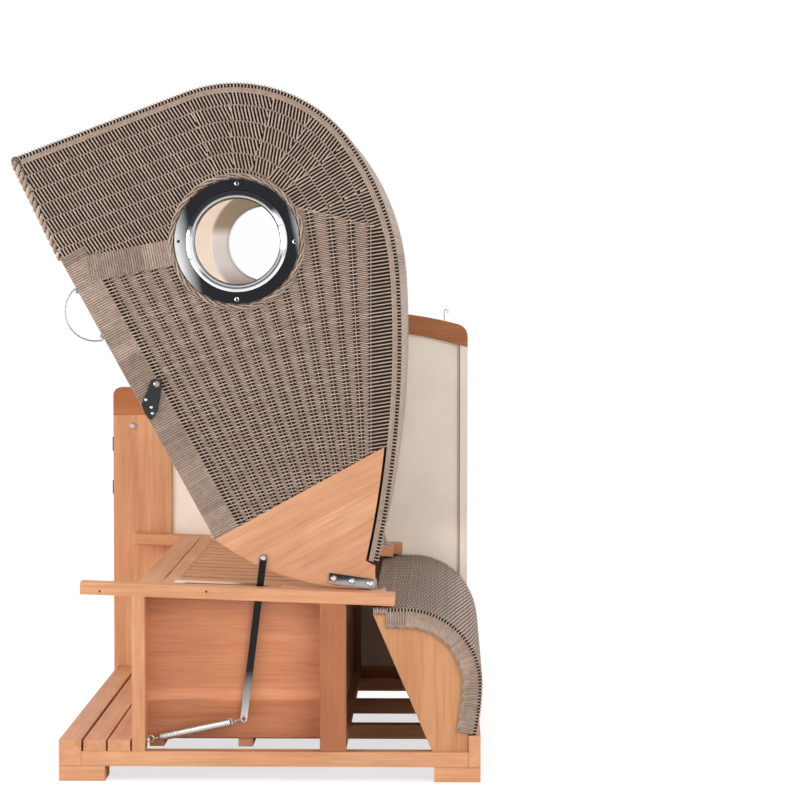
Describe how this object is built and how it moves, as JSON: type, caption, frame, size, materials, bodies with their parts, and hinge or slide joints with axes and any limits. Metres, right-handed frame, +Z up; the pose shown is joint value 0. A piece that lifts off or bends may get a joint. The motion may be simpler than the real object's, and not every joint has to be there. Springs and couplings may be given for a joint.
{
  "type": "hooded beach chair",
  "caption": "Bench seat in a wooden base under a tilting woven hood with portholes, one arched side panel fitted and the other taken off to show lever and spring.",
  "frame": {"origin": "on the floor under the middle of the chair's box", "axes": "+Z up, -Y towards the front of the seat, +X towards the side whose panel is taken off"},
  "size_m": [1.245, 1.0649, 1.5748],
  "materials": {
    "teak": "oiled",
    "teak_rail": "oiled",
    "wicker": "woven strand",
    "binding": "wrapped strand",
    "lining": "plain weave",
    "chrome": "polished",
    "steel": "zinc plated",
    "black_metal": "gloss",
    "clear_pane": "clear"
  },
  "bodies": {
    "base": {"feet": "teak", "runners": "teak", "front_board": "teak", "rear_board": "teak", "floor_slats": "teak", "front_posts": "teak", "rear_posts": "teak", "side_boards": "teak", "seat_front_panel": "teak", "seat_rear_panel": "teak", "near_batten": "teak", "far_batten": "teak", "deck_front_rail": "teak", "deck_side_rails": "teak", "deck_rear_rail": "teak", "lid_rails": "teak", "lid_slats": "teak", "lid_ledgers": "teak", "skirt_brackets": "teak", "panel_front_stile": "teak", "panel_rear_stile": "teak", "panel_bottom_rail": "teak", "panel_top_rail": "teak_rail", "rear_skirt": "wicker", "panel_weave": "wicker", "panel_lining": "lining", "panel_bolt": "chrome", "slot_plates": "chrome", "pivot_lugs": "steel", "spring_eyes": "steel", "panel_hanger": "steel", "panel_edge_plates": "black_metal"},
    "hood": {"roof_weave": "wicker", "roof_front_bar": "binding", "near_cheek_weave": "wicker", "far_cheek_weave": "wicker", "cheek_linings": "lining", "roof_lining": "lining", "front_rims": "binding", "binding_bands": "binding", "quarter_panels": "teak", "back_rail": "teak", "porthole_rings": "chrome", "porthole_inner_rings": "chrome", "porthole_panes": "clear_pane", "porthole_screws": "chrome", "pivot_straps": "chrome", "pivot_pins": "chrome", "hood_bolts": "chrome", "spring_levers": "steel", "latch_bolts": "steel", "bail_lugs": "steel"},
    "near_latch": {"near_latch": "black_metal"},
    "near_bail": {"near_bail": "steel"},
    "near_spring": {"near_spring_coil": "steel"},
    "near_spring_tail": {"near_spring_tail": "steel"},
    "far_latch": {"far_latch": "black_metal"},
    "far_bail": {"far_bail": "steel"},
    "far_spring": {"far_spring_coil": "steel"},
    "far_spring_tail": {"far_spring_tail": "steel"}
  },
  "joints": [
    {"name": "hood_tilt", "type": "hinge", "parent": "base", "child": "hood", "pos_m": [0.0225, 0.281, 0.44414], "axis": [-1, 0, 0], "range_deg": [0, 40]},
    {"name": "near_latch_turn", "type": "hinge", "parent": "hood", "child": "near_latch", "pos_m": [0.5705, -0.20356, 0.89679], "axis": [1, 0, 0], "range_deg": [-20, 35]},
    {"name": "near_bail_swing", "type": "hinge", "parent": "hood", "child": "near_bail", "pos_m": [0.5525, -0.3572, 1.05482], "axis": [0, 0.4818, -0.8763], "range_deg": [-75, 75]},
    {"name": "near_spring_swing", "type": "hinge", "parent": "base", "child": "near_spring", "pos_m": [0.5857, -0.2185, 0.0905], "axis": [1, 0, 0], "range_deg": [0, 63.24]},
    {"name": "near_spring_stretch", "type": "slide", "parent": "near_spring", "child": "near_spring_tail", "axis": [0, 0.9784, 0.2068], "range_m": [0, 0.0966], "deforming": ["near_spring_coil"]},
    {"name": "far_latch_turn", "type": "hinge", "parent": "hood", "child": "far_latch", "pos_m": [-0.5255, -0.20356, 0.89679], "axis": [1, 0, 0], "range_deg": [-20, 35]},
    {"name": "far_bail_swing", "type": "hinge", "parent": "hood", "child": "far_bail", "pos_m": [-0.5075, -0.3572, 1.05482], "axis": [0, 0.4818, -0.8763], "range_deg": [-75, 75]},
    {"name": "far_spring_swing", "type": "hinge", "parent": "base", "child": "far_spring", "pos_m": [-0.5407, -0.2185, 0.0905], "axis": [1, 0, 0], "range_deg": [0, 63.24]},
    {"name": "far_spring_stretch", "type": "slide", "parent": "far_spring", "child": "far_spring_tail", "axis": [0, 0.9784, 0.2068], "range_m": [0, 0.0966], "deforming": ["far_spring_coil"]}
  ],
  "couplings": [
    {"joint": "near_spring_swing", "follows": "hood_tilt", "ratio": 1.5797},
    {"joint": "near_spring_stretch", "follows": "hood_tilt", "m_per_rad": 0.13822},
    {"joint": "far_spring_swing", "follows": "hood_tilt", "ratio": 1.5797},
    {"joint": "far_spring_stretch", "follows": "hood_tilt", "m_per_rad": 0.13822}
  ]
}
